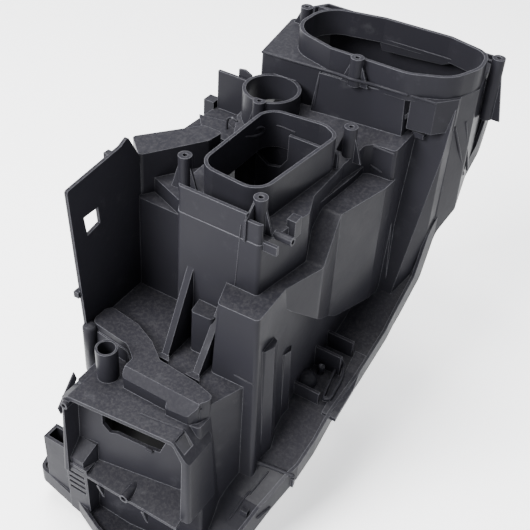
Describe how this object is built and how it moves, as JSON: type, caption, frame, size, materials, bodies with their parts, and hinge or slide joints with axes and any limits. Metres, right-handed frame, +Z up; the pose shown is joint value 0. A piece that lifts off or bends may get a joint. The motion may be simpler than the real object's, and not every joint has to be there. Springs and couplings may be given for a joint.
{
  "type": "moulded plastic housing",
  "caption": "Thin-walled black plastic housing, open below, with stepped towers, oval, round and rounded rectangular collars, screw bosses, ribs and a curved flange.",
  "frame": {"origin": "middle of the bottom of the bounding box, on the plane the housing stands on", "axes": "X across the width, +Y from the near end with the shroud to the rear tower, +Z up"},
  "size_m": [0.2092, 0.3508, 0.314],
  "materials": {
    "black_plastic": "satin black moulded polypropylene with a fine grain"
  },
  "bodies": {
    "root": {"moulded_housing": "black_plastic"}
  },
  "joints": []
}
